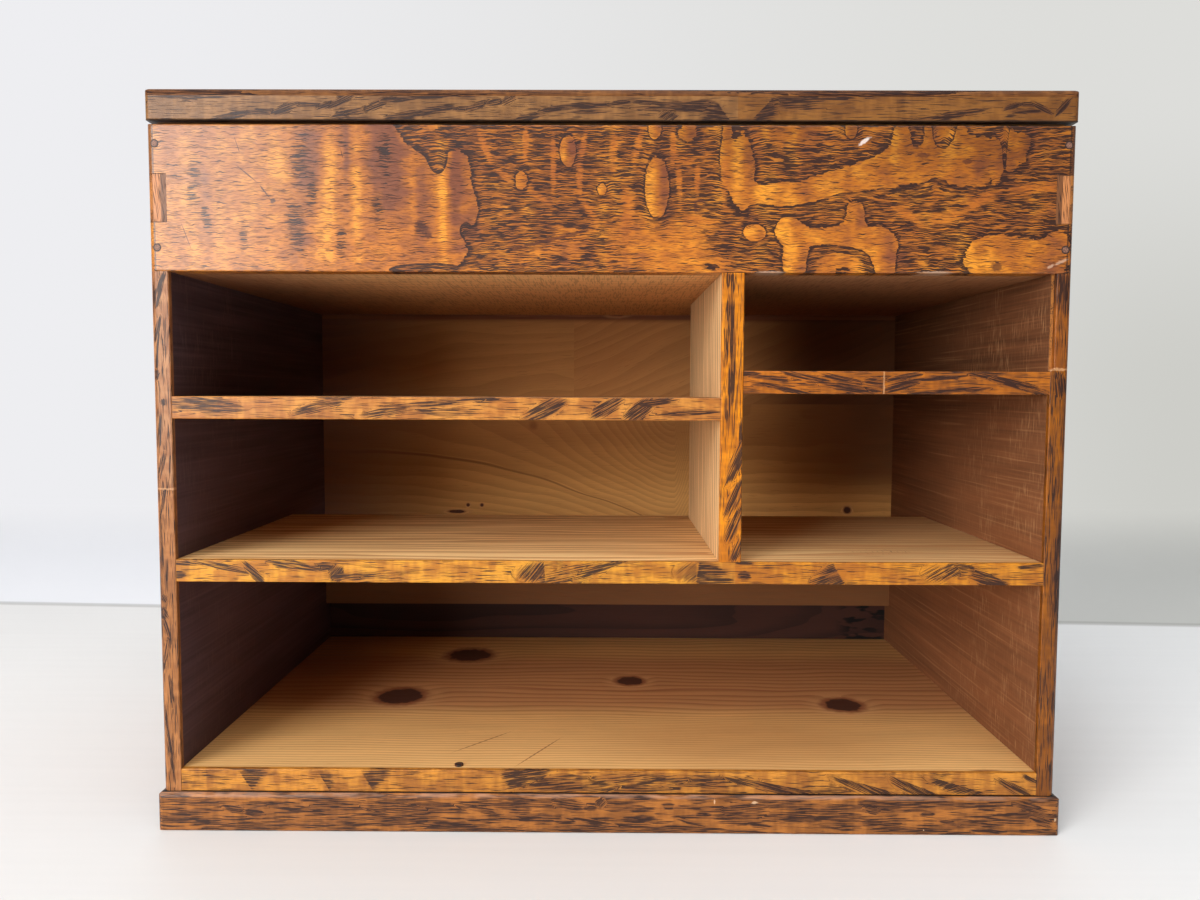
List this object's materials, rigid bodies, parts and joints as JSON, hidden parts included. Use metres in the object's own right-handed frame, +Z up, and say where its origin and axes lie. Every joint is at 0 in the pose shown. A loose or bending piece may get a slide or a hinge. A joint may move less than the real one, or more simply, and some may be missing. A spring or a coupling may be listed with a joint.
{
  "type": "sewing box",
  "caption": "Japanese wooden sewing box: an open-fronted carcass of unequal bays on a low plinth, under a figured front panel and a rear-hinged lid.",
  "frame": {"origin": "middle of the floor under the box, midway between its sides and between its foremost and rearmost points", "axes": "+X to the right as the open front is looked at, +Y to the back, +Z up"},
  "size_m": [0.306, 0.1816, 0.2475],
  "materials": {
    "plinth_ash": "satin, waxed ash with dark pores",
    "floor_pine": "bare pine with dark knots",
    "edging_ash": "satin, stained ash strips",
    "side_ash": "stained ash, polished outside and sawn inside",
    "shelf_cedar": "bare straight-grained cedar",
    "compartment_cedar": "bare cedar",
    "figured_ash": "satin, figured ash with amber islands and dark pore lines",
    "lining_pine": "bare pine",
    "back_cedar": "bare dark cedar",
    "peg_wood": "end grain of hardwood pegs",
    "nail_iron": "dull dark iron",
    "hinge_brass": "aged brass",
    "pin_steel": "plain steel",
    "core_cedar": "bare cedar",
    "lid_ash": "satin, stained ash"
  },
  "bodies": {
    "carcass": {"plinth_front": "plinth_ash", "plinth_back": "plinth_ash", "plinth_left": "plinth_ash", "plinth_right": "plinth_ash", "bottom_board": "floor_pine", "bottom_edging": "edging_ash", "left_side": "side_ash", "right_side": "side_ash", "left_edging_lower": "edging_ash", "left_edging_upper": "edging_ash", "right_edging_lower": "edging_ash", "right_edging_upper": "edging_ash", "middle_shelf": "shelf_cedar", "middle_edging_left": "edging_ash", "middle_edging_right": "edging_ash", "divider": "shelf_cedar", "divider_edging": "edging_ash", "upper_left_shelf": "shelf_cedar", "upper_left_edging": "edging_ash", "upper_right_shelf": "shelf_cedar", "upper_right_edging_left": "edging_ash", "upper_right_edging_right": "edging_ash", "compartment_floor": "compartment_cedar", "front_panel": "figured_ash", "compartment_back": "compartment_cedar", "lining_lower": "lining_pine", "lining_upper_left": "lining_pine", "lining_upper_right": "lining_pine", "outer_back_lower": "back_cedar", "outer_back_upper": "back_cedar", "panel_pegs": "peg_wood", "back_nails": "nail_iron", "floor_nail": "nail_iron", "hinge_left_body_leaf": "hinge_brass", "hinge_right_body_leaf": "hinge_brass", "hinge_left_pin": "pin_steel", "hinge_right_pin": "pin_steel", "body_hinge_screws": "hinge_brass"},
    "lid": {"hinge_left_lid_leaf": "hinge_brass", "hinge_right_lid_leaf": "hinge_brass", "lid_hinge_screws": "hinge_brass", "lid_core": "core_cedar", "lid_top": "lid_ash", "lid_front_edging_left": "lid_ash", "lid_front_edging_right": "lid_ash", "lid_left_edging": "lid_ash", "lid_right_edging": "lid_ash", "lid_back_rail": "lid_ash"}
  },
  "joints": [
    {"name": "lid_hinge", "type": "hinge", "parent": "carcass", "child": "lid", "pos_m": [0, 0.0858, 0.23655], "axis": [-1, 0, 0], "range_deg": [0, 120]}
  ]
}
